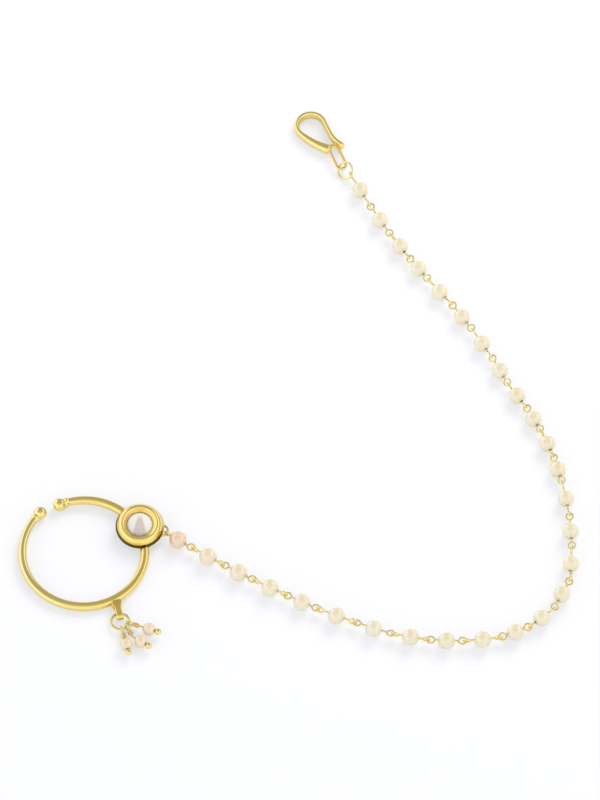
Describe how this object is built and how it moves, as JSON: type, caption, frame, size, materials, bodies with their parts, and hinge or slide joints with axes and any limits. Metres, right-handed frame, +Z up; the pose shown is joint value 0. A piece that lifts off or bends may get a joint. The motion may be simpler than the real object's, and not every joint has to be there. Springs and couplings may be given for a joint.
{
  "type": "nath nose ring",
  "caption": "Open gold nose hoop with ball ends, a round dished stone setting and small pearl drops, and a chain of linked pearls that ends in a teardrop hair hook.",
  "frame": {"origin": "middle of the bottom of the object's box, on the surface that it lies on", "axes": "+Z up from the surface; +Y towards the hair hook, away from the hoop; +X to the right of the hoop, the side that the chain leaves it"},
  "size_m": [0.127, 0.1464, 0.005],
  "materials": {
    "gold_plate": "polished gold plate over brass",
    "imitation_pearl": "cream imitation pearl, soft gloss",
    "clear_stone": "clear faceted glass, foil-backed"
  },
  "bodies": {
    "root": {"nose_hoop": "gold_plate", "kundan_stone": "clear_stone", "drop_jump_ring": "gold_plate", "drop_pin_1": "gold_plate", "drop_pearl_1": "imitation_pearl", "drop_pin_2": "gold_plate", "drop_pearl_2": "imitation_pearl", "drop_pin_3": "gold_plate", "drop_pearl_3": "imitation_pearl", "chain_eye_pins": "gold_plate", "chain_pearl_01": "imitation_pearl", "chain_pearl_02": "imitation_pearl", "chain_pearl_03": "imitation_pearl", "chain_pearl_04": "imitation_pearl", "chain_pearl_05": "imitation_pearl", "chain_pearl_06": "imitation_pearl", "chain_pearl_07": "imitation_pearl", "chain_pearl_08": "imitation_pearl", "chain_pearl_09": "imitation_pearl", "chain_pearl_10": "imitation_pearl", "chain_pearl_11": "imitation_pearl", "chain_pearl_12": "imitation_pearl", "chain_pearl_13": "imitation_pearl", "chain_pearl_14": "imitation_pearl", "chain_pearl_15": "imitation_pearl", "chain_pearl_16": "imitation_pearl", "chain_pearl_17": "imitation_pearl", "chain_pearl_18": "imitation_pearl", "chain_pearl_19": "imitation_pearl", "chain_pearl_20": "imitation_pearl", "chain_pearl_21": "imitation_pearl", "chain_pearl_22": "imitation_pearl", "chain_pearl_23": "imitation_pearl", "chain_pearl_24": "imitation_pearl", "chain_pearl_25": "imitation_pearl", "chain_pearl_26": "imitation_pearl", "chain_pearl_27": "imitation_pearl", "chain_pearl_28": "imitation_pearl", "hook_jump_ring": "gold_plate", "chain_hook": "gold_plate"}
  },
  "joints": []
}
